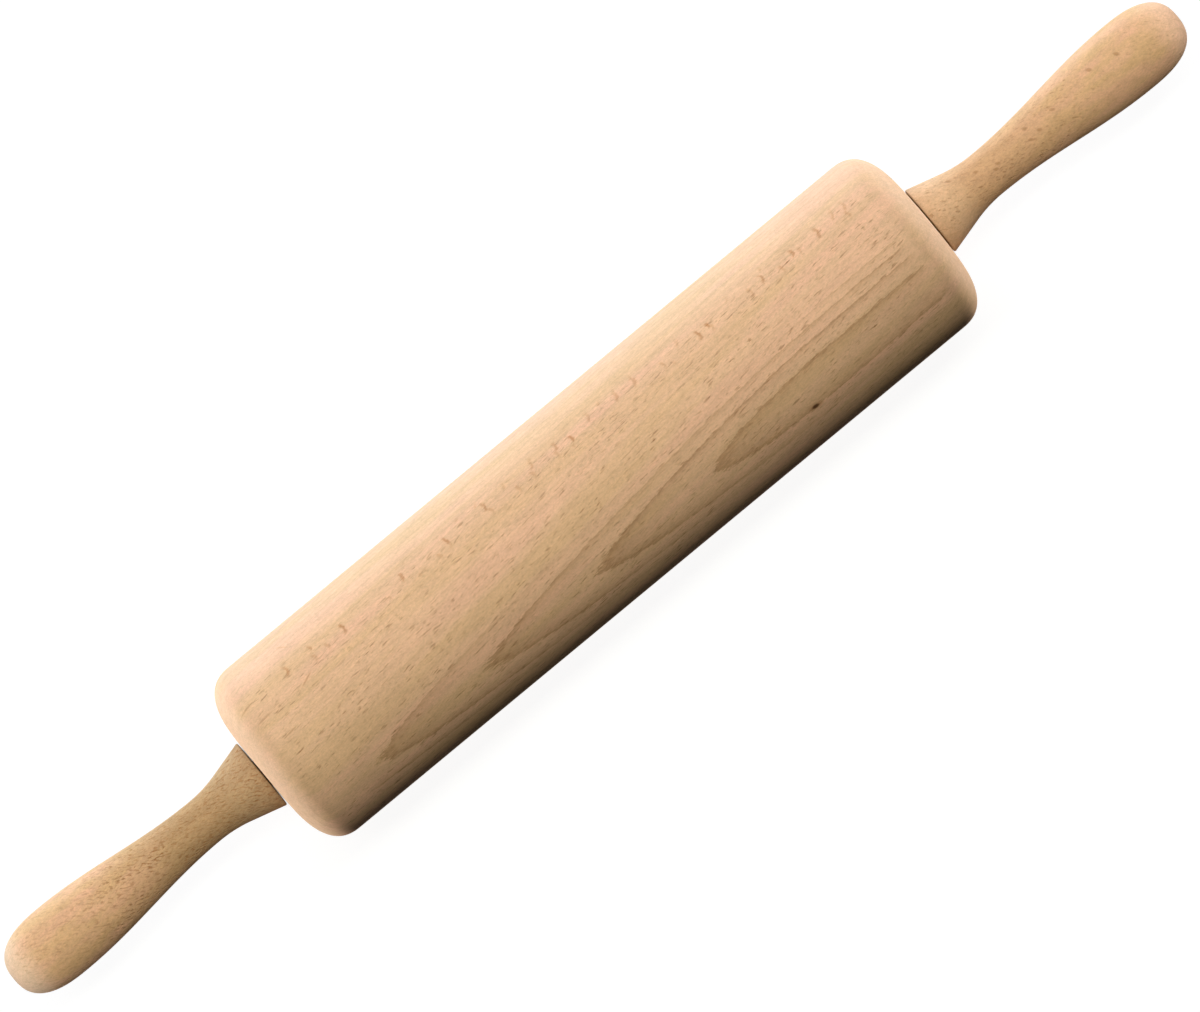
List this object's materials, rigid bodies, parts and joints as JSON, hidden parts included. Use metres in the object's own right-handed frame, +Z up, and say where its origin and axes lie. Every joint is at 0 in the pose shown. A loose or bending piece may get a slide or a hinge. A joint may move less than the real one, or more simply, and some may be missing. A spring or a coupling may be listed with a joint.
{
  "type": "rolling pin",
  "caption": "Beech rolling pin: a straight round-rimmed roller that revolves on ball bearings on a steel axle, between two turned, waisted handles.",
  "frame": {"origin": "on the spin axis, at the middle of the roller's length", "axes": "+X along the spin axis towards the right handle, +Z up, away from the surface that the roller lies on"},
  "size_m": [0.4372, 0.06, 0.06],
  "materials": {
    "roller_beech": "sanded, bare",
    "handle_beech": "sanded, bare",
    "axle_steel": "drawn",
    "ring_steel": "ground",
    "ball_steel": "polished",
    "cage_brass": "pressed",
    "seal_rubber": "moulded",
    "washer_plastic": "matt",
    "spring_steel": "oiled"
  },
  "bodies": {
    "grips": {"axle": "axle_steel", "handle_left": "handle_beech", "handle_right": "handle_beech", "inner_race_left": "ring_steel", "inner_race_right": "ring_steel", "thrust_washer_left": "washer_plastic", "thrust_washer_right": "washer_plastic", "snap_ring_left": "spring_steel", "snap_ring_right": "spring_steel"},
    "roller": {"roller": "roller_beech", "outer_race_left": "ring_steel", "outer_race_right": "ring_steel", "outboard_seal_left": "seal_rubber", "outboard_seal_right": "seal_rubber", "inboard_seal_left": "seal_rubber", "inboard_seal_right": "seal_rubber"},
    "cage_left": {"balls_left": "ball_steel", "ball_cage_left": "cage_brass"},
    "cage_right": {"balls_right": "ball_steel", "ball_cage_right": "cage_brass"}
  },
  "joints": [
    {"name": "roller_spin", "type": "hinge", "parent": "grips", "child": "roller", "pos_m": [0, 0, 0], "axis": [1, 0, 0], "continuous": true},
    {"name": "cage_left_spin", "type": "hinge", "parent": "grips", "child": "cage_left", "pos_m": [-0.1215, 0, 0], "axis": [1, 0, 0], "continuous": true},
    {"name": "cage_right_spin", "type": "hinge", "parent": "grips", "child": "cage_right", "pos_m": [0.1215, 0, 0], "axis": [1, 0, 0], "continuous": true}
  ],
  "couplings": [
    {"joint": "cage_left_spin", "follows": "roller_spin", "ratio": 0.64},
    {"joint": "cage_right_spin", "follows": "roller_spin", "ratio": 0.64}
  ]
}
